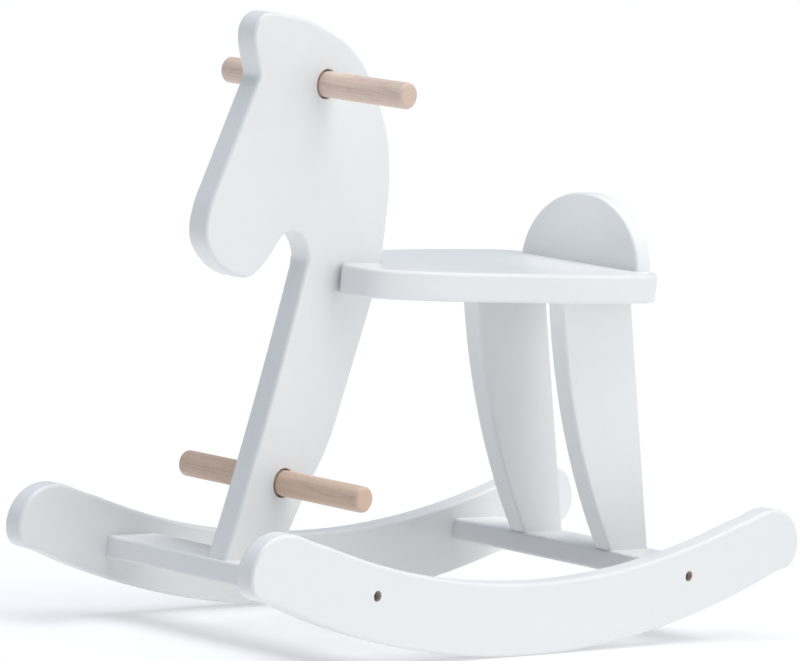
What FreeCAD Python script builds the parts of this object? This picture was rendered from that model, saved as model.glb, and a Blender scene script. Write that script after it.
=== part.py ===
import FreeCAD, Part
import math
import os

V = FreeCAD.Vector
os.makedirs("parts", exist_ok=True)

# Toddler's rocking horse in painted boards with two beech dowels, millimetres.
# Frame: +Z up, the nose points to -Y, the horse's left side is +X.
# Origin: on the floor, under the middle of the rockers.

# ---- driving dimensions ----
overall_width = 279.0
rocker_length = 725.0
rocker_thickness = 18.0
rocker_sole_radius = 985.0
rocker_waist = 62.5            # height of the rocker's top edge over the floor at mid length
rocker_top_radius = 930.0
board_round = 3.0              # round-over on every board edge

bar_depth = 60.0
bar_thickness = 19.0
bar_bottom = 50.5
bar_outer_face = 255.7         # distance of each bar's outer long face from mid length

spare = 12.0                   # extra length on boards that are rounded first and then cut square
slab_size = 4000.0             # side of the slab that trims a board between two heights
plane_tolerance = 1e-4
place_tolerance = 0.1          # slack when an edge is recognised by its place or length
straight_run = 6.0             # straight stretch of a curved edge just before a square cut

head_thickness = 21.0
brow_radius = 8.0              # hollow between the forelock and the nose
leg_thickness = 18.0
leg_inner_x = 40.0             # inner face of each rear leg

seat_bottom = 292.7
seat_thickness = 25.0
seat_mouth = -143.0             # front end of the slot, beside the neck
seat_rear = 206.5
seat_slot_end = -93.5

backrest_thickness = 20.0
backrest_front = 182.5
backrest_radius = 66.5
backrest_sink = 5.0            # the arc's centre lies this far under the seat top

dowel_radius = 11.0
dowel_length = 202.0
dowel_end_round = 3.0
glue_groove_width = 2.0        # shallow ring cut where the dowel leaves the head board
glue_groove_depth = 0.8
glue_groove_start = 9.0        # distance of the groove's inner side from the board's middle
groove_margin = 1.0            # how far the groove's cutting ring stands out of the dowel
dowel_hole_radius = 12.3
hole_mouth_round = 1.0
handle_y = -185.4
handle_z = 466.9
footrest_y = -190.0
footrest_z = 132.8

bolt_y = 207.0                 # distance of each rocker bolt from mid length
bolt_head_radius = 4.2
bolt_head_height = 4.0
bolt_shank_radius = 3.0
bolt_length = 50.0
bolt_head_round = 0.8
bolt_socket_radius = 2.3       # to the corners of the six-sided socket
bolt_socket_depth = 2.5
bolt_recess_radius = 4.6
bolt_recess_depth = 8.0
barrel_nut_radius = 5.0
barrel_nut_length = 14.0
barrel_nut_setback = 8.0       # distance of the nut's axis from the tip of the bolt

pin_radius = 4.0
pin_length = 40.0
rocker_pin_y = 236.0
rocker_pin_length = 36.0
rocker_pin_cover = 6.0         # wood left between the pin and the rocker's outer face
pin_depth_in_seat = 18.0

screw_shank_radius = 2.5
screw_head_radius = 4.75
screw_head_height = 3.5
screw_length = 60.0
screw_socket_share = 0.7       # socket radius and depth, as a share of the shank and head height
lock_screw_radius = 2.0
lock_screw_head_radius = 3.8
lock_screw_head_height = 3.0
lock_screw_recess_gap = 0.5    # clearance round the screw's head
lock_screw_recess_length = 45.0

# ---- derived dimensions ----
half_width = overall_width / 2
rocker_inner_x = half_width - rocker_thickness
half_length = rocker_length / 2
bar_top = bar_bottom + bar_thickness
bar_middle_z = bar_bottom + bar_thickness / 2
bar_inner_face = bar_outer_face - bar_depth
seat_top = seat_bottom + seat_thickness
half_head = head_thickness / 2
leg_middle_x = leg_inner_x + leg_thickness / 2
half_dowel = dowel_length / 2
bolt_seat_x = half_width - bolt_recess_depth
backrest_middle_y = backrest_front + backrest_thickness / 2


# ---- building blocks ----
def side_point(y, z):
    return V(0, y, z)


def line(a, b):
    return Part.LineSegment(a, b).toShape()


def arc(a, b, c):
    return Part.Arc(a, b, c).toShape()


def curve(start, start_way, first_reach, poles, last_reach, end, end_way):
    """Cubic B-spline over control points, leaving start along start_way and ending along end_way."""
    spline = Part.BSplineCurve()
    first = start + start_way * first_reach
    last = end - end_way * last_reach
    spline.buildFromPoles([start, first] + poles + [last, end], False, 3)
    return spline.toShape()


def side_points(pairs):
    return [side_point(y, z) for y, z in pairs]


def cylinder(radius, length, base, direction):
    return Part.makeCylinder(radius, length, base, direction)


def hollow_corner(corner, first_way, second_way, radius):
    """Start, middle and end of the arc that eases the corner between two ways leading from it."""
    half_angle = first_way.getAngle(second_way) / 2
    reach = radius / math.tan(half_angle)
    bisector = (first_way + second_way).normalize()
    middle = corner + bisector * (radius / math.sin(half_angle) - radius)
    return corner + first_way * reach, middle, corner + second_way * reach


def board(edges, thickness, start, direction):
    """Extrude a closed outline into a board whose first face passes through start."""
    face = Part.Face(Part.Wire(edges))
    face.translate(direction * start)
    return face.extrude(direction * thickness)


def rounded(solid, radius, wanted):
    return solid.makeFillet(radius, [edge for edge in solid.Edges if wanted(edge)])


def middle_of(edge):
    return edge.valueAt((edge.FirstParameter + edge.LastParameter) / 2)


def lies_on(edge, axis, value):
    """True when the whole edge lies in the plane where the given axis equals value."""
    first = edge.valueAt(edge.FirstParameter)
    last = edge.valueAt(edge.LastParameter)
    points = (first, middle_of(edge), last)
    return all(abs(point[axis] - value) < plane_tolerance for point in points)


def between(solid, low, high):
    """The part of a solid between two heights."""
    slab = Part.makeBox(slab_size, slab_size, high - low, V(-slab_size / 2, -slab_size / 2, low))
    return solid.common(slab)


def joined(solids):
    return Part.makeCompound(solids)


def export(shape, node):
    shape.exportStep("parts/" + node + ".step")


# ---- fasteners ----
def screw(point, direction, length, shank, head, head_height):
    """Countersunk screw whose flat head face lies at point, driven along direction."""
    cone = Part.makeCone(head, shank, head_height, point, direction)
    shaft = cylinder(shank, length - head_height, point + direction * head_height, direction)
    body = cone.fuse(shaft).removeSplitter()
    depth = head_height * screw_socket_share
    socket = cylinder(shank * screw_socket_share, depth, point, direction)
    return body.cut(socket)


def screw_hole(point, direction, length, shank, head, head_height):
    cone = Part.makeCone(head, shank, head_height, point, direction)
    shaft = cylinder(shank, length - head_height, point + direction * head_height, direction)
    return cone.fuse(shaft).removeSplitter()


def board_screw(point, direction):
    sizes = (screw_length, screw_shank_radius, screw_head_radius, screw_head_height)
    return screw(point, direction, *sizes)


def board_screw_hole(point, direction):
    sizes = (screw_length, screw_shank_radius, screw_head_radius, screw_head_height)
    return screw_hole(point, direction, *sizes)


def rocker_bolt(side, y):
    """Socket-head bolt lying in the rocker's recess, pointing to the middle of the bar."""
    inward = V(-side, 0, 0)
    seat = V(side * bolt_seat_x, y, bar_middle_z)
    head = cylinder(bolt_head_radius, bolt_head_height, seat, -inward)
    outer_x = side * (bolt_seat_x + bolt_head_height)
    head = rounded(head, bolt_head_round, lambda e: lies_on(e, 0, outer_x))
    shank = cylinder(bolt_shank_radius, bolt_length, seat, inward)
    hex_points = []
    for i in range(7):
        angle = math.radians(60 * i)
        corner = V(0, math.cos(angle), math.sin(angle)) * bolt_socket_radius
        hex_points.append(corner)
    socket = Part.Face(Part.makePolygon(hex_points))
    socket.translate(seat - inward * bolt_head_height)
    return head.fuse(shank).removeSplitter().cut(socket.extrude(inward * bolt_socket_depth))


def rocker_bolt_space(side, y):
    inward = V(-side, 0, 0)
    mouth = V(side * half_width, y, bar_middle_z)
    recess = cylinder(bolt_recess_radius, bolt_recess_depth, mouth, inward)
    seat = V(side * bolt_seat_x, y, bar_middle_z)
    return recess.fuse(cylinder(bolt_shank_radius, bolt_length, seat, inward))


def barrel_nut_place(side, y):
    axis_x = side * (bolt_seat_x - bolt_length + barrel_nut_setback)
    return V(axis_x, y, bar_middle_z - barrel_nut_length / 2)


def barrel_nut(side, y):
    body = cylinder(barrel_nut_radius, barrel_nut_length, barrel_nut_place(side, y), V(0, 0, 1))
    return body.cut(rocker_bolt_space(side, y))


def barrel_nut_space(side, y):
    place = barrel_nut_place(side, y)
    mouth = V(place.x, place.y, bar_bottom)
    depth = place.z + barrel_nut_length - bar_bottom
    return cylinder(barrel_nut_radius, depth, mouth, V(0, 0, 1))


def rocker_pin(side, y):
    outer = V(side * (half_width - rocker_pin_cover), y, bar_middle_z)
    return cylinder(pin_radius, rocker_pin_length, outer, V(-side, 0, 0))


# ---- positions that repeat ----
corners = [(side, end) for side in (1, -1) for end in (-1, 1)]
bolt_places = [(side, end * bolt_y) for side, end in corners]
pin_places = [(side, end * rocker_pin_y) for side, end in corners]
head_foot_y = (-233.0, -209.0)
leg_foot_y = (210.0, 237.0)
leg_pin_y = (118.0, 166.0)
backrest_pin_x = (-44.0, 44.0)
backrest_screw_x = (-20.0, 20.0)


def head_foot_points():
    return [V(0, y, bar_bottom) for y in head_foot_y]


def leg_foot_points(side):
    return [V(side * leg_middle_x, y, bar_bottom) for y in leg_foot_y]


def leg_pins(side):
    pins = []
    for y in leg_pin_y:
        base = V(side * leg_middle_x, y, seat_bottom + pin_depth_in_seat - pin_length)
        pins.append(cylinder(pin_radius, pin_length, base, V(0, 0, 1)))
    return pins


def backrest_pins():
    pins = []
    for x in backrest_pin_x:
        base = V(x, backrest_middle_y, seat_top - pin_depth_in_seat)
        pins.append(cylinder(pin_radius, pin_length, base, V(0, 0, 1)))
    return pins


def neck_pin():
    base = V(0, seat_slot_end + pin_length / 2, seat_bottom + seat_thickness / 2)
    return cylinder(pin_radius, pin_length, base, V(0, -1, 0))


UP = V(0, 0, 1)
FORWARD = V(0, -1, 0)
handle_screw_start = V(0, -140.0, handle_z)
handle_screw_length = 52.0
footrest_screw_start = V(0, -163.0, footrest_z)
footrest_screw_length = 33.0


def lock_screw(point, length):
    return screw(point, FORWARD, length, lock_screw_radius,
                 lock_screw_head_radius, lock_screw_head_height)


def lock_screw_space(point, length):
    """The screw's own hole and the plain recess from its head out to the board's rear edge."""
    hole = screw_hole(point, FORWARD, length, lock_screw_radius,
                      lock_screw_head_radius, lock_screw_head_height)
    radius = lock_screw_head_radius + lock_screw_recess_gap
    recess = cylinder(radius, lock_screw_recess_length, point, V(0, 1, 0))
    return hole.fuse(recess)


# ---- head, neck and front leg: one board standing on the front bar ----
def head_panel():
    shin_end = side_point(-251.1, bar_top + straight_run)
    ankle = side_point(-183.6, bar_top + straight_run)
    throat = side_point(-187.1, 317.3)
    nose_low = side_point(-309.5, 373.1)
    kink = side_point(-267.8, 470.8)
    crown = side_point(-261.2, 523.7)
    nape = side_point(-102.6, 278.4)
    calf = side_point(-130.4, 184.6)

    down_nose = (nose_low - kink).normalize()
    up_forelock = side_point(-0.38, 0.92).normalize()
    down_calf = (calf - nape).normalize()
    backward = side_point(1.0, 0.0)
    brow = hollow_corner(kink, down_nose, up_forelock, brow_radius)
    front_edge = arc(shin_end, side_point(-218.4, 189.6), throat)
    down_shin = front_edge.tangentAt(front_edge.FirstParameter).negative()
    down_throat = front_edge.tangentAt(front_edge.LastParameter).negative()

    forelock = side_points([(-279.8, 495.8), (-280.8, 513.7)])
    mane = side_points([(-180.3, 509.7), (-145.8, 493.3), (-117.8, 456.9),
                        (-95.4, 418.0), (-90.5, 366.1)])
    jaw = side_points([(-318.0, 343.5), (-310.0, 326.0), (-286.5, 308.5), (-259.0, 302.5),
                       (-244.5, 311.5), (-229.5, 328.0), (-219.5, 345.0), (-194.5, 342.0)])
    heel = side_points([(-147.5, 145.5), (-166.5, 111.5)])
    down_foot = side_point(-0.45, -0.89).normalize()
    toe = shin_end + down_shin * 2 * spare
    heel_end = ankle + down_foot * 2 * spare

    edges = [
        arc(*brow),
        curve(brow[2], up_forelock, 6.0, forelock, 8.5, crown, backward),
        curve(crown, backward, 36.0, mane, 33.0, nape, down_calf),
        line(nape, calf),
        curve(calf, down_calf, 22.0, heel, 11.0, ankle, down_foot),
        line(ankle, heel_end),
        line(heel_end, toe),
        line(toe, shin_end),
        front_edge,
        curve(nose_low, down_nose, 8.5, jaw, 5.0, throat, down_throat),
        line(nose_low, brow[0]),
    ]
    panel = board(Part.__sortEdges__(edges), head_thickness, -half_head, V(1, 0, 0))
    faces = (half_head, -half_head)
    outline = lambda e: any(lies_on(e, 0, x) for x in faces) and e.BoundBox.ZMax > bar_top
    panel = between(rounded(panel, board_round, outline), bar_top, crown.z + spare)

    across = V(1, 0, 0)
    tools = [
        cylinder(dowel_hole_radius, head_thickness, V(-half_head, handle_y, handle_z), across),
        cylinder(dowel_hole_radius, head_thickness, V(-half_head, footrest_y, footrest_z), across),
        lock_screw_space(handle_screw_start, handle_screw_length),
        lock_screw_space(footrest_screw_start, footrest_screw_length),
        neck_pin(),
    ]
    tools += [board_screw_hole(point, UP) for point in head_foot_points()]
    panel = panel.cut(tools)
    mouth_length = 2 * math.pi * dowel_hole_radius
    mouths = lambda e: (abs(e.Length - mouth_length) < place_tolerance
                        and any(lies_on(e, 0, x) for x in faces))
    return rounded(panel, hole_mouth_round, mouths)


# ---- seat: rounded at both ends, slotted at the front so that it straddles the neck ----
def seat_board():
    half_rear = 90.0            # half width along the straight rear half of each side
    rear_corner = 38.0
    side_end_y = seat_rear - rear_corner
    slot_way = V(0.5, -0.87, 0).normalize()
    corner_run = 3.0            # straight edge between the slot's mouth and the round of the prong
    prong_round = 12.0

    def at_seat(side, x, y):
        return V(side * x, y, seat_bottom)

    edges = []
    for side in (1, -1):
        mouth = at_seat(side, half_head, seat_mouth)
        outward = V(side * slot_way.x, slot_way.y, 0)
        round_start = mouth + outward * corner_run
        centre = round_start + V(-side * outward.y, side * outward.x, 0) * prong_round
        tip = centre + V(0, -prong_round, 0)
        half_way = (round_start - centre + tip - centre).normalize()
        prong = [at_seat(side, x, y) for x, y in (
            (46.0, tip.y + 3.0), (56.0, -133.0), (66.0, -104.0), (74.0, -62.0),
            (79.0, 0.0), (87.0, 55.0), (90.0, 105.0))]
        side_end = at_seat(side, half_rear, side_end_y)
        corner_centre = at_seat(side, half_rear - rear_corner, side_end_y)
        diagonal = V(side, 1, 0).normalize() * rear_corner
        rear_end = corner_centre + V(0, rear_corner, 0)
        slot_end = at_seat(side, half_head, seat_slot_end)
        edges += [
            line(slot_end, mouth),
            line(mouth, round_start),
            arc(round_start, centre + half_way * prong_round, tip),
            curve(tip, V(side, 0, 0), 10.0, prong, 30.0, side_end, V(0, 1, 0)),
            arc(side_end, corner_centre + diagonal, rear_end),
        ]
    edges.append(line(at_seat(1, half_head, seat_slot_end), at_seat(-1, half_head, seat_slot_end)))
    rear_half = half_rear - rear_corner
    edges.append(line(at_seat(1, rear_half, seat_rear), at_seat(-1, rear_half, seat_rear)))
    seat = board(Part.__sortEdges__(edges), seat_thickness, 0, UP)

    def outline(edge):
        flat = lies_on(edge, 2, seat_bottom) or lies_on(edge, 2, seat_top)
        middle = middle_of(edge)
        beside_neck = abs(middle.x) < half_head + place_tolerance
        in_slot = beside_neck and middle.y < seat_slot_end + place_tolerance
        return flat and not in_slot

    seat = rounded(seat, board_round, outline)
    tools = leg_pins(1) + leg_pins(-1) + backrest_pins() + [neck_pin()]
    tools += [board_screw_hole(V(x, backrest_middle_y, seat_bottom), UP) for x in backrest_screw_x]
    return seat.cut(tools)


# ---- backrest: a half-round board standing across the rear of the seat ----
def backrest():
    centre_z = seat_top - backrest_sink
    half_base = math.sqrt(backrest_radius ** 2 - backrest_sink ** 2)
    left = V(-half_base, 0, seat_top)
    right = V(half_base, 0, seat_top)
    edges = [arc(left, V(0, 0, centre_z + backrest_radius), right), line(right, left)]
    back = board(edges, backrest_thickness, backrest_front, V(0, 1, 0))
    rear = backrest_front + backrest_thickness
    outline = lambda e: ((lies_on(e, 1, backrest_front) or lies_on(e, 1, rear))
                         and not lies_on(e, 2, seat_top))
    back = rounded(back, board_round, outline)
    tools = backrest_pins()
    tools += [board_screw_hole(V(x, backrest_middle_y, seat_bottom), UP) for x in backrest_screw_x]
    return back.cut(tools)


# ---- rear leg: bowed front edge, straight rear edge ----
def rear_leg(side):
    thigh = side_point(96.3, seat_bottom - straight_run)
    shin = side_point(192.2, bar_top + straight_run)
    front_edge = arc(thigh, side_point(131.4, 181.1), shin)
    up_thigh = front_edge.tangentAt(front_edge.FirstParameter).negative()
    down_shin = front_edge.tangentAt(front_edge.LastParameter)
    top_front = thigh + up_thigh * 2 * spare
    foot_front = shin + down_shin * 2 * spare
    top_rear = side_point(186.8, seat_bottom + spare)
    foot_rear = side_point(254.0, bar_top - spare)
    edges = [
        line(top_front, thigh),
        front_edge,
        line(shin, foot_front),
        line(foot_front, foot_rear),
        line(foot_rear, top_rear),
        line(top_rear, top_front),
    ]
    inner = min(side * leg_inner_x, side * (leg_inner_x + leg_thickness))
    leg = board(edges, leg_thickness, inner, V(1, 0, 0))
    faces = (side * leg_inner_x, side * (leg_inner_x + leg_thickness))
    outline = lambda e: (any(lies_on(e, 0, x) for x in faces)
                         and e.BoundBox.ZMin < seat_bottom and e.BoundBox.ZMax > bar_top)
    leg = between(rounded(leg, board_round, outline), bar_top, seat_bottom)
    tools = leg_pins(side) + [board_screw_hole(point, UP) for point in leg_foot_points(side)]
    return leg.cut(tools)


# ---- cross bar between the rockers; end is -1 at the front and 1 at the rear ----
def cross_bar(end):
    y_low = min(end * bar_inner_face, end * bar_outer_face)
    bar = Part.makeBox(2 * rocker_inner_x, bar_depth, bar_thickness,
                       V(-rocker_inner_x, y_low, bar_bottom))
    lengthwise = lambda e: abs(middle_of(e).x) < place_tolerance
    bar = rounded(bar, board_round, lengthwise)
    tools = []
    for side in (1, -1):
        tools.append(rocker_bolt_space(side, end * bolt_y))
        tools.append(barrel_nut_space(side, end * bolt_y))
        tools.append(rocker_pin(side, end * rocker_pin_y))
    if end < 0:
        points = head_foot_points()
    else:
        points = leg_foot_points(1) + leg_foot_points(-1)
    tools += [board_screw_hole(point, UP) for point in points]
    return bar.cut(tools)


# ---- rocker: curved board with blunt, rounded ends ----
def rocker(side):
    sole_y = 330.0
    sole_z = rocker_sole_radius - math.sqrt(rocker_sole_radius ** 2 - sole_y ** 2)
    top_centre_z = rocker_waist + rocker_top_radius
    top_y = 270.0
    tip_swell = 0.2             # how far the end curve swells past the line its points start from
    top_z = top_centre_z - math.sqrt(rocker_top_radius ** 2 - top_y ** 2)

    def end_curve(end):
        """The blunt end, from the sole round the tip to the rocker's hollow top edge."""
        sole_point = side_point(end * sole_y, sole_z)
        top_point = side_point(end * top_y, top_z)
        sole_way = side_point(end * (rocker_sole_radius - sole_z), sole_y).normalize()
        top_way = side_point(-end * (top_centre_z - top_z), -top_y).normalize()
        tip = half_length - tip_swell
        poles = side_points([(end * (tip - 16.0), 60.2), (end * (tip - 2.0), 65.0),
                             (end * (tip + 3.0), 87.5), (end * (tip - 13.5), 111.5),
                             (end * (tip - 45.0), 117.5), (end * (tip - 71.0), 107.0)])
        return curve(sole_point, sole_way, 5.0, poles, 5.0, top_point, top_way)

    edges = [
        arc(side_point(-sole_y, sole_z), side_point(0, 0), side_point(sole_y, sole_z)),
        end_curve(1),
        arc(side_point(-top_y, top_z), side_point(0, rocker_waist), side_point(top_y, top_z)),
        end_curve(-1),
    ]
    inner = min(side * rocker_inner_x, side * half_width)
    shape = board(Part.__sortEdges__(edges), rocker_thickness, inner, V(1, 0, 0))
    faces = (side * rocker_inner_x, side * half_width)
    shape = rounded(shape, board_round, lambda e: any(lies_on(e, 0, x) for x in faces))
    tools = [rocker_bolt_space(side, end * bolt_y) for end in (-1, 1)]
    tools += [rocker_pin(side, end * rocker_pin_y) for end in (-1, 1)]
    return shape.cut(tools)


# ---- handle and footrest: round dowels through the head board ----
def dowel(y, z, screw_start, length):
    rod = cylinder(dowel_radius, dowel_length, V(-half_dowel, y, z), V(1, 0, 0))
    ends = lambda e: lies_on(e, 0, half_dowel) or lies_on(e, 0, -half_dowel)
    rod = rounded(rod, dowel_end_round, ends)
    grooves = []
    for side in (1, -1):
        start = V(side * glue_groove_start, y, z)
        way = V(side, 0, 0)
        band = cylinder(dowel_radius + groove_margin, glue_groove_width, start, way)
        core = cylinder(dowel_radius - glue_groove_depth, glue_groove_width, start, way)
        grooves.append(band.cut(core))
    return rod.cut(grooves + [lock_screw_space(screw_start, length)])


# ---- the whole horse ----
export(head_panel(), "head_panel")
export(seat_board(), "seat_board")
export(backrest(), "backrest")
export(rear_leg(1), "rear_leg_left")
export(rear_leg(-1), "rear_leg_right")
export(cross_bar(-1), "front_cross_bar")
export(cross_bar(1), "rear_cross_bar")
export(rocker(1), "rocker_left")
export(rocker(-1), "rocker_right")
export(dowel(handle_y, handle_z, handle_screw_start, handle_screw_length), "handle_dowel")
export(dowel(footrest_y, footrest_z, footrest_screw_start, footrest_screw_length), "footrest_dowel")
export(joined([rocker_bolt(side, y) for side, y in bolt_places]), "rocker_bolts")
export(joined([barrel_nut(side, y) for side, y in bolt_places]), "barrel_nuts")
export(joined([rocker_pin(side, y) for side, y in pin_places]), "rocker_pins")
export(joined([board_screw(point, UP) for point in head_foot_points()]), "head_foot_screws")
leg_foot = leg_foot_points(1) + leg_foot_points(-1)
export(joined([board_screw(point, UP) for point in leg_foot]), "leg_foot_screws")
export(joined(leg_pins(1) + leg_pins(-1)), "seat_leg_pins")
export(neck_pin(), "seat_neck_pin")
export(joined(backrest_pins()), "backrest_pins")
backrest_screw_points = [V(x, backrest_middle_y, seat_bottom) for x in backrest_screw_x]
export(joined([board_screw(point, UP) for point in backrest_screw_points]), "backrest_screws")
export(lock_screw(handle_screw_start, handle_screw_length), "handle_lock_screw")
export(lock_screw(footrest_screw_start, footrest_screw_length), "footrest_lock_screw")
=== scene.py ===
import math

import bmesh
import bpy
from mathutils import Matrix, Vector


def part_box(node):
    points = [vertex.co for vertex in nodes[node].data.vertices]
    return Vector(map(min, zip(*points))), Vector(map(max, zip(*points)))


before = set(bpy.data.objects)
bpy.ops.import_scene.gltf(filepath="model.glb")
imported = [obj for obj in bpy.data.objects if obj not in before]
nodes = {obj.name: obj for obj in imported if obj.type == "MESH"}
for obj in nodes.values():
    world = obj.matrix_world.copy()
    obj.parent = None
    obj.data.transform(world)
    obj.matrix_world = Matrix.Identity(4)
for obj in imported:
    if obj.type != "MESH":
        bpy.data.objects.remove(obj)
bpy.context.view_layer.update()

# ---- which finish each CAD node takes ----
X, Y, Z = 0, 1, 2
# each painted board's face axis, and the axis its grain runs along
PAINTED = {
    "head_panel": (X, Z),
    "seat_board": (Z, Y),
    "backrest": (Y, X),
    "rear_leg_left": (X, Z),
    "rear_leg_right": (X, Z),
    "front_cross_bar": (Z, X),
    "rear_cross_bar": (Z, X),
    "rocker_left": (X, Y),
    "rocker_right": (X, Y),
}
PINS = ("rocker_pins", "seat_leg_pins", "seat_neck_pin", "backrest_pins")
BOLTS = ("rocker_bolts", "barrel_nuts")
SCREWS = (
    "head_foot_screws",
    "leg_foot_screws",
    "backrest_screws",
    "handle_lock_screw",
    "footrest_lock_screw",
)


def rgb(r, g, b):
    return (r, g, b, 1.0)


def scaled(colour, r, g, b):
    """A colour with each of its parts made darker or lighter by its own factor."""
    return rgb(colour[0] * r, colour[1] * g, colour[2] * b)


class Graph:
    """One material and the few calls that add and join its shader nodes."""

    def __init__(self, name):
        self.material = bpy.data.materials.new(name)
        self.material.use_nodes = True
        self.tree = self.material.node_tree
        self.tree.nodes.clear()

    def add(self, kind, inputs=None, **settings):
        node = self.tree.nodes.new(kind)
        for key, value in settings.items():
            setattr(node, key, value)
        for key, value in (inputs or {}).items():
            self.put(node.inputs[key], value)
        return node

    def put(self, socket, value):
        if isinstance(value, bpy.types.NodeSocket):
            self.tree.links.new(value, socket)
        else:
            socket.default_value = value

    def math(self, operation, a, b=0.0, clamp=False):
        node = self.add("ShaderNodeMath", {0: a, 1: b}, operation=operation, use_clamp=clamp)
        return node.outputs[0]

    def ramp(self, value, low, high):
        """0 below low and 1 above high, smooth in between."""
        node = self.add("ShaderNodeMapRange", {0: value, 1: low, 2: high, 3: 0.0, 4: 1.0},
                        interpolation_type="SMOOTHSTEP")
        return node.outputs[0]

    def span(self, value, low, high):
        """A value that is about 0 to 1, moved to low to high."""
        node = self.add("ShaderNodeMapRange", {0: value, 1: 0.0, 2: 1.0, 3: low, 4: high})
        return node.outputs[0]

    def mix(self, share, a, b):
        node = self.add("ShaderNodeMix", data_type="RGBA", blend_type="MIX")
        self.put(node.inputs[0], share)
        self.put(node.inputs[6], a)
        self.put(node.inputs[7], b)
        return node.outputs[2]

    def place(self):
        """Position on the object, in metres."""
        self.coordinates = self.add("ShaderNodeTexCoord")
        return self.coordinates.outputs["Object"]

    def parts(self, vector):
        return self.add("ShaderNodeSeparateXYZ", {0: vector}).outputs

    def facing(self, axis):
        """How squarely the surface faces along an axis, 0 to 1."""
        return self.math("ABSOLUTE", self.parts(self.coordinates.outputs["Normal"])[axis])

    def reach_across(self, position, y, z):
        """Distance from a line that runs along X through y and z."""
        part = self.parts(position)
        dy = self.math("SUBTRACT", part[Y], y)
        dz = self.math("SUBTRACT", part[Z], z)
        square = self.math("ADD", self.math("MULTIPLY", dy, dy), self.math("MULTIPLY", dz, dz))
        return self.math("SQRT", square)

    def stretched(self, position, scales, offset=(0.0, 0.0, 0.0)):
        inputs = {"Vector": position, "Scale": scales, "Location": offset}
        return self.add("ShaderNodeMapping", inputs).outputs[0]

    def noise(self, vector, scale, detail=2.0, roughness=0.5, distortion=0.0):
        inputs = {"Vector": vector, "Scale": scale, "Detail": detail,
                  "Roughness": roughness, "Distortion": distortion}
        return self.add("ShaderNodeTexNoise", inputs).outputs[0]

    def bump(self, height, strength, distance, normal=None):
        inputs = {"Strength": strength, "Distance": distance, "Height": height}
        if normal is not None:
            inputs["Normal"] = normal
        return self.add("ShaderNodeBump", inputs).outputs[0]

    def finish(self, inputs):
        shader = self.add("ShaderNodeBsdfPrincipled", inputs)
        output = self.add("ShaderNodeOutputMaterial")
        self.tree.links.new(shader.outputs[0], output.inputs[0])
        return self.material


# ---- satin white paint on board ----
BOLT_Y = 0.207
BOLT_Z = 0.060
RECESS = 0.0048
RECESS_RIM = 0.0004
GRAIN_ACROSS = 190.0
GRAIN_ALONG = 7.0
WHITE_CLEAN = rgb(0.815, 0.815, 0.812)
WHITE_COOL = rgb(0.795, 0.798, 0.80)
WHITE_MOTTLE = rgb(0.785, 0.782, 0.77)
WHITE_GRAIN = rgb(0.77, 0.765, 0.75)
WHITE_END = rgb(0.76, 0.75, 0.735)
WHITE_RUBBED = rgb(0.75, 0.725, 0.68)
RAW_DARK = rgb(0.34, 0.2, 0.11)
RAW_PALE = rgb(0.5, 0.33, 0.2)


def paint(name, face_axis, grain_axis, offset, bolt_holes):
    """Satin white paint: roller stipple, faint grain, thin and rubbed at the round edges."""
    g = Graph(name)
    position = g.place()
    along = [GRAIN_ACROSS] * 3
    along[grain_axis] = GRAIN_ALONG
    broad = g.facing(face_axis)
    squared = g.math("MULTIPLY", broad, broad)
    slope = g.math("MULTIPLY", squared, g.math("SUBTRACT", 1.0, squared))
    edge = g.math("MULTIPLY", slope, 4.0, clamp=True)
    end = g.math("SUBTRACT", 1.0, g.ramp(broad, 0.1, 0.6))

    cloud = g.noise(position, 9.0, 3.0)
    mottle = g.noise(position, 60.0, 4.0, 0.6)
    stipple = g.noise(position, 1100.0, 2.0, 0.5)
    grain = g.noise(g.stretched(position, tuple(along), offset), 1.0, 4.0, 0.62, 0.6)
    fibres = g.noise(position, 420.0, 3.0, 0.7)

    colour = g.mix(g.span(cloud, 0.0, 0.9), WHITE_CLEAN, WHITE_COOL)
    colour = g.mix(g.math("MULTIPLY", g.ramp(mottle, 0.45, 0.75), 0.35), colour, WHITE_MOTTLE)
    colour = g.mix(g.math("MULTIPLY", g.ramp(grain, 0.52, 0.72), 0.22), colour, WHITE_GRAIN)
    end_fibres = g.math("MULTIPLY", g.ramp(fibres, 0.5, 0.75), 0.3)
    colour = g.mix(g.math("MULTIPLY", end, end_fibres), colour, WHITE_END)
    wear = g.noise(position, 45.0, 5.0, 0.7)
    rubbed = g.math("MULTIPLY", edge, g.ramp(wear, 0.55, 0.72))
    colour = g.mix(g.math("MULTIPLY", rubbed, 0.35), colour, WHITE_RUBBED)
    roughness = g.math("ADD", g.span(mottle, 0.33, 0.47), g.math("MULTIPLY", edge, -0.07))
    roughness = g.math("ADD", roughness, g.math("MULTIPLY", end, 0.05))

    if bolt_holes:
        reach = 1.0
        for bolt_y in (BOLT_Y, -BOLT_Y):
            reach = g.math("MINIMUM", reach, g.reach_across(position, bolt_y, BOLT_Z))
        bare = g.math("SUBTRACT", 1.0, g.ramp(reach, RECESS - RECESS_RIM, RECESS))
        raw = g.mix(g.span(fibres, 0.2, 0.9), RAW_DARK, RAW_PALE)
        colour = g.mix(bare, colour, raw)
        roughness = g.math("ADD", roughness, g.math("MULTIPLY", bare, 0.35))

    normal = g.bump(stipple, 0.12, 0.00012)
    normal = g.bump(grain, 0.25, 0.00014, normal)
    normal = g.bump(g.math("MULTIPLY", fibres, end), 0.25, 0.00012, normal)
    return g.finish({"Base Color": colour, "Roughness": roughness, "Normal": normal,
                     "IOR": 1.48, "Specular IOR Level": 0.5})


# ---- beech ----
RINGS_PER_METRE = 620.0
RING_WANDER = 5.0
LACQUERED = (0.34, 0.52)
BARE = (0.6, 0.8)
PIN_PALE = rgb(0.77, 0.63, 0.48)
PIN_DEEP = rgb(0.60, 0.44, 0.31)


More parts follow.
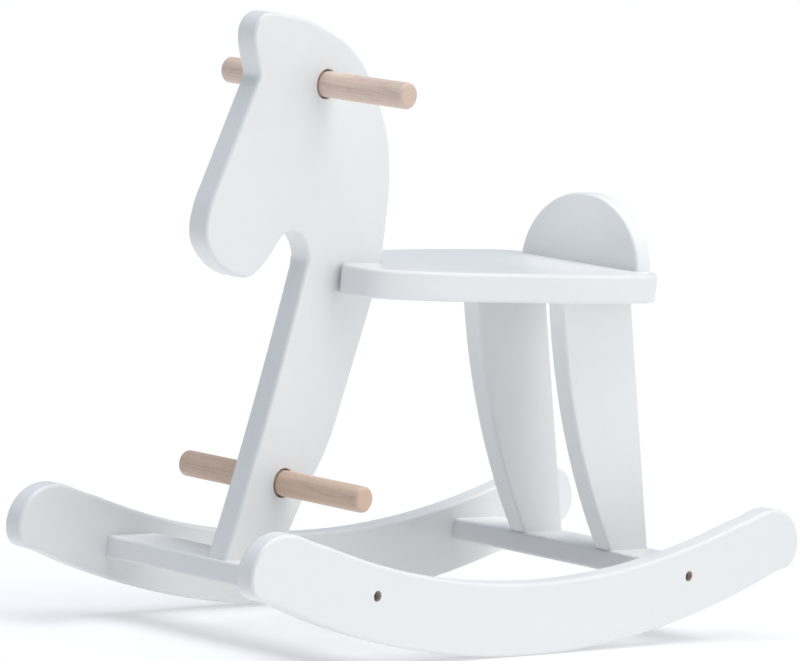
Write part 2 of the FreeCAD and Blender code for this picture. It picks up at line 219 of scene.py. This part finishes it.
def beech(name, pale, deep, heart, roughness_range):
    """Beech turned along X: fine straight grain, short dark flecks, growth rings on the ends."""
    g = Graph(name)
    position = g.place()
    wander = g.noise(g.stretched(position, (9.0, 60.0, 60.0)), 1.0, 2.0)
    distance = g.reach_across(position, heart[0], heart[1])
    rings = g.math("ADD", g.math("MULTIPLY", distance, RINGS_PER_METRE),
                   g.math("MULTIPLY", wander, RING_WANDER))
    rings = g.span(g.math("SINE", g.math("MULTIPLY", rings, 2 * math.pi)), 0.5, 1.0)
    lines = g.noise(g.stretched(position, (12.0, 900.0, 900.0)), 1.0, 3.0, 0.6)
    speckle = g.noise(g.stretched(position, (190.0, 1500.0, 1500.0), (3.0, 1.0, 2.0)), 1.0, 1.0)
    flecks = g.ramp(speckle, 0.66, 0.72)
    patch = g.noise(g.stretched(position, (14.0, 45.0, 45.0)), 1.0, 3.0)
    ends = g.ramp(g.facing(X), 0.6, 0.95)

    tone = g.math("ADD", g.math("MULTIPLY", lines, 0.55), g.math("MULTIPLY", rings, 0.3))
    tone = g.math("ADD", tone, g.math("MULTIPLY", patch, 0.35))
    colour = g.mix(g.ramp(tone, 0.25, 1.05), pale, deep)
    colour = g.mix(g.math("MULTIPLY", flecks, 0.5), colour, scaled(deep, 0.62, 0.55, 0.5))
    pores = g.ramp(g.noise(position, 2600.0, 1.0), 0.56, 0.66)
    end_tone = g.math("ADD", g.math("MULTIPLY", rings, 0.5), g.math("MULTIPLY", pores, 0.5))
    end_colour = g.mix(end_tone, scaled(pale, 0.94, 0.9, 0.86), scaled(deep, 0.85, 0.8, 0.76))
    colour = g.mix(ends, colour, end_colour)
    roughness = g.span(lines, roughness_range[0], roughness_range[1])
    height = g.math("SUBTRACT", g.math("MULTIPLY", lines, 0.6), g.math("MULTIPLY", flecks, 0.5))
    normal = g.bump(height, 0.35, 0.0001)
    normal = g.bump(g.math("MULTIPLY", pores, ends), 0.3, 0.0001, normal)
    return g.finish({"Base Color": colour, "Roughness": roughness, "Normal": normal,
                     "IOR": 1.5})


# ---- plated steel ----
SPECK = rgb(0.25, 0.22, 0.18)


def plated_steel(name, tint, roughness_low, roughness_high):
    """Zinc plate: fine turning marks, cloudy tone, small dull specks."""
    g = Graph(name)
    position = g.place()
    cloud = g.noise(position, 260.0, 4.0, 0.6)
    turned = g.noise(g.stretched(position, (4200.0, 700.0, 700.0)), 1.0, 2.0)
    specks = g.ramp(g.noise(position, 1900.0, 2.0), 0.6, 0.7)
    colour = g.mix(cloud, tint, scaled(tint, 0.72, 0.72, 0.74))
    colour = g.mix(g.math("MULTIPLY", specks, 0.4), colour, SPECK)
    roughness = g.math("ADD", g.span(cloud, roughness_low, roughness_high),
                       g.math("MULTIPLY", specks, 0.2))
    normal = g.bump(turned, 0.2, 0.00006)
    return g.finish({"Base Color": colour, "Roughness": roughness, "Normal": normal,
                     "Metallic": 1.0})


# ---- dressing the nodes ----
# Both dowels are the same beech in two tones: the handle's lighter, paler colours are painted
# light on the upper dowel, and the footrest's darker, more saturated colours are painted shade
# on the lower, occluded dowel.
DOWEL_TONES_LIT_AND_SHADED = (
    ("handle_dowel", rgb(0.80, 0.645, 0.555), rgb(0.63, 0.465, 0.375)),
    ("footrest_dowel", rgb(0.78, 0.592, 0.475), rgb(0.59, 0.407, 0.305)),
)
DOWEL_HEART = (0.017, -0.013)  # the tree's middle, in Y and Z from the middle of the piece
PIN_HEART = (0.01, -0.02)
OFFSET_STEP = (3.7, 1.9, 5.3)  # moves the grain on from one board to the next


def heart_of(node, shift):
    """Y and Z of the line that the growth rings of a node circle round."""
    low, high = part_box(node)
    middle = (low + high) / 2
    return middle.y + shift[0], middle.z + shift[1]


def dress(node, material):
    piece = nodes[node]
    piece.data.materials.clear()
    piece.data.materials.append(material)


for index, (node, axes) in enumerate(PAINTED.items()):
    offset = tuple(index * step for step in OFFSET_STEP)
    coat = paint("paint_" + node, axes[0], axes[1], offset, node.startswith("rocker"))
    dress(node, coat)
# each dowel takes its own tone of the one beech: painted light on the handle, painted shade on
# the footrest
for node, pale, deep in DOWEL_TONES_LIT_AND_SHADED:
    wood = beech("beech_" + node, pale, deep, heart_of(node, DOWEL_HEART), LACQUERED)
    dress(node, wood)
for node in PINS:
    wood = beech("beech_" + node, PIN_PALE, PIN_DEEP, heart_of(node, PIN_HEART), BARE)
    dress(node, wood)
bolt_plate = plated_steel("bolt_plate", rgb(0.5, 0.45, 0.38), 0.3, 0.5)
screw_plate = plated_steel("screw_plate", rgb(0.56, 0.55, 0.53), 0.28, 0.46)
for node in BOLTS:
    dress(node, bolt_plate)
for node in SCREWS:
    dress(node, screw_plate)

# ---- floor ----
FLOOR_REACH = 90.0
FLOOR_SIDES = 96
FLOOR_GLOW = 0.35


def floor():
    """A plain pale floor, far larger than the view, that gives off a little light."""
    mesh = bpy.data.meshes.new("floor")
    ring = bmesh.new()
    bmesh.ops.create_circle(ring, cap_ends=True, radius=FLOOR_REACH, segments=FLOOR_SIDES)
    ring.to_mesh(mesh)
    ring.free()
    piece = bpy.data.objects.new("floor", mesh)
    bpy.context.scene.collection.objects.link(piece)
    g = Graph("floor")
    tone = g.noise(g.place(), 3.0, 3.0)
    colour = g.mix(tone, rgb(0.61, 0.61, 0.62), rgb(0.63, 0.63, 0.64))
    piece.data.materials.append(g.finish({"Base Color": colour, "Roughness": 0.85,
                                          "Specular IOR Level": 0.1,
                                          "Emission Color": rgb(1.0, 1.0, 1.0),
                                          "Emission Strength": FLOOR_GLOW}))


floor()


# ---- light ----
# A lamp's share is the light it puts on a surface that faces it, as a part of white.
SKY_COLOUR = rgb(0.6, 0.8, 1.0)
SKY_STRENGTH = 0.24
SPOT_BLEND = 0.6
SPOT_RADIUS = 0.08


def hang(name, lamp, place, back):
    """Put a lamp in the scene with its back towards a direction."""
    piece = bpy.data.objects.new(name, lamp)
    piece.location = place
    piece.rotation_mode = "QUATERNION"
    piece.rotation_quaternion = Vector(back).to_track_quat("Z", "Y")
    bpy.context.scene.collection.objects.link(piece)


def sun(name, toward, share, colour, spread):
    """A soft distant lamp that stands in a given direction."""
    lamp = bpy.data.lights.new(name, "SUN")
    lamp.energy = share * math.pi
    lamp.color = colour
    lamp.angle = math.radians(spread)
    hang(name, lamp, (0.0, 0.0, 0.0), toward)


def spot(name, place, aim, share, cone):
    """A narrow soft lamp that shines from a place to a point."""
    back = Vector(place) - Vector(aim)
    lamp = bpy.data.lights.new(name, "SPOT")
    lamp.energy = share * 4 * math.pi ** 2 * back.length_squared
    lamp.spot_size = math.radians(cone)
    lamp.spot_blend = SPOT_BLEND
    lamp.shadow_soft_size = SPOT_RADIUS
    hang(name, lamp, place, back)


world = bpy.data.worlds.new("studio")
bpy.context.scene.world = world
world.use_nodes = True
world.node_tree.nodes["Background"].inputs[0].default_value = SKY_COLOUR
world.node_tree.nodes["Background"].inputs[1].default_value = SKY_STRENGTH
sun("side_key", (0.74, 0.5, 0.45), 0.46, (1.0, 0.965, 0.92), 70.0)
sun("top_light", (0.06, 0.0, 1.0), 0.74, (0.985, 0.99, 1.0), 55.0)
spot("backrest_light", (0.5, -1.7, 1.5), (0.0, 0.18, 0.375), 0.28, 4.6)
bpy.context.scene.view_settings.view_transform = "Standard"

# ---- camera ----
CAMERA_PLACE = (3.14494, -3.74275, 0.72601)
CAMERA_RIGHT = (0.751228, 0.652343, 0.100523)
CAMERA_UP = (-0.138752, 0.007184, 0.990301)
CAMERA_BACK = (0.645294, -0.757890, 0.095911)
CAMERA_LENS = 257.98
CAMERA_SENSOR = 36.0
CAMERA_FAR = 400.0


def camera():
    lens = bpy.data.cameras.new("camera")
    lens.sensor_width = CAMERA_SENSOR
    lens.lens = CAMERA_LENS
    lens.clip_end = CAMERA_FAR
    piece = bpy.data.objects.new("camera", lens)
    columns = (CAMERA_RIGHT, CAMERA_UP, CAMERA_BACK)
    turn = Matrix(columns).transposed().to_4x4()
    piece.matrix_world = Matrix.Translation(CAMERA_PLACE) @ turn
    bpy.context.scene.collection.objects.link(piece)
    bpy.context.scene.camera = piece


camera()
